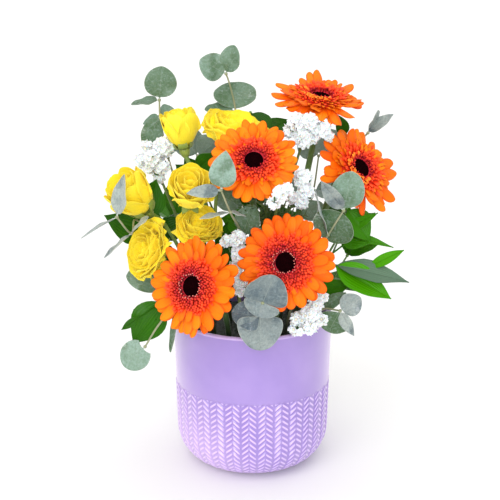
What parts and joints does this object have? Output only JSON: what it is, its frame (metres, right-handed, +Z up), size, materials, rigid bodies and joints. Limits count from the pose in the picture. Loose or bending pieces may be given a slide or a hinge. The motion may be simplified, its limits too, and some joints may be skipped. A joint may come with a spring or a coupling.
{
  "type": "potted gerbera arrangement",
  "caption": "Gerberas, spray roses, statice and leafy sprigs standing in wet foam in a round glazed pot; a free-standing flower arrangement that shows its front.",
  "frame": {"origin": "middle of the pot's flat underside, on the surface it stands on", "axes": "+Z up along the pot's axis, -Y towards the front of the arrangement, where the flower faces look, +X to the viewer's right"},
  "size_m": [0.2701, 0.1983, 0.3655],
  "materials": {
    "lilac_glaze": "gloss",
    "wet_foam": "matte",
    "gerbera_green": "satin",
    "gerbera_orange": "satin",
    "gerbera_heart": "matte",
    "rose_yellow": "satin",
    "rose_green": "satin",
    "statice_green": "matte",
    "statice_white": "matte",
    "eucalyptus_grey": "matte",
    "ruscus_green": "satin"
  },
  "bodies": {
    "root": {"pot": "lilac_glaze", "floral_foam": "wet_foam", "eucalyptus_1": "eucalyptus_grey", "eucalyptus_2": "eucalyptus_grey", "eucalyptus_3": "eucalyptus_grey", "eucalyptus_4": "eucalyptus_grey", "eucalyptus_5": "eucalyptus_grey", "eucalyptus_6": "eucalyptus_grey", "eucalyptus_7": "eucalyptus_grey", "eucalyptus_8": "eucalyptus_grey", "eucalyptus_9": "eucalyptus_grey", "eucalyptus_10": "eucalyptus_grey", "eucalyptus_11": "eucalyptus_grey", "gerbera_1_heart": "gerbera_heart", "gerbera_1_rays": "gerbera_orange", "gerbera_1_stem": "gerbera_green", "gerbera_2_heart": "gerbera_heart", "gerbera_2_rays": "gerbera_orange", "gerbera_2_stem": "gerbera_green", "gerbera_3_heart": "gerbera_heart", "gerbera_3_rays": "gerbera_orange", "gerbera_3_stem": "gerbera_green", "gerbera_4_heart": "gerbera_heart", "gerbera_4_rays": "gerbera_orange", "gerbera_4_stem": "gerbera_green", "gerbera_5_heart": "gerbera_heart", "gerbera_5_rays": "gerbera_orange", "gerbera_5_stem": "gerbera_green", "rose_1_bloom": "rose_yellow", "rose_2_bloom": "rose_yellow", "rose_3_bloom": "rose_yellow", "rose_4_bloom": "rose_yellow", "rose_5_bloom": "rose_yellow", "rose_6_bloom": "rose_yellow", "rose_spray_left": "rose_green", "rose_spray_right": "rose_green", "ruscus_1": "ruscus_green", "ruscus_2": "ruscus_green", "ruscus_3": "ruscus_green", "ruscus_4": "ruscus_green", "ruscus_5": "ruscus_green", "ruscus_6": "ruscus_green", "ruscus_7": "ruscus_green", "ruscus_8": "ruscus_green", "ruscus_9": "ruscus_green", "ruscus_10": "ruscus_green", "ruscus_11": "ruscus_green", "ruscus_12": "ruscus_green", "ruscus_13": "ruscus_green", "statice_1_flowers_a": "statice_white", "statice_1_stem": "statice_green", "statice_2_flowers_a": "statice_white", "statice_2_stem": "statice_green", "statice_3_flowers_a": "statice_white", "statice_3_flowers_b": "statice_white", "statice_3_stem": "statice_green", "statice_4_flowers_a": "statice_white", "statice_4_stem": "statice_green", "statice_5_flowers_a": "statice_white", "statice_5_stem": "statice_green"}
  },
  "joints": []
}
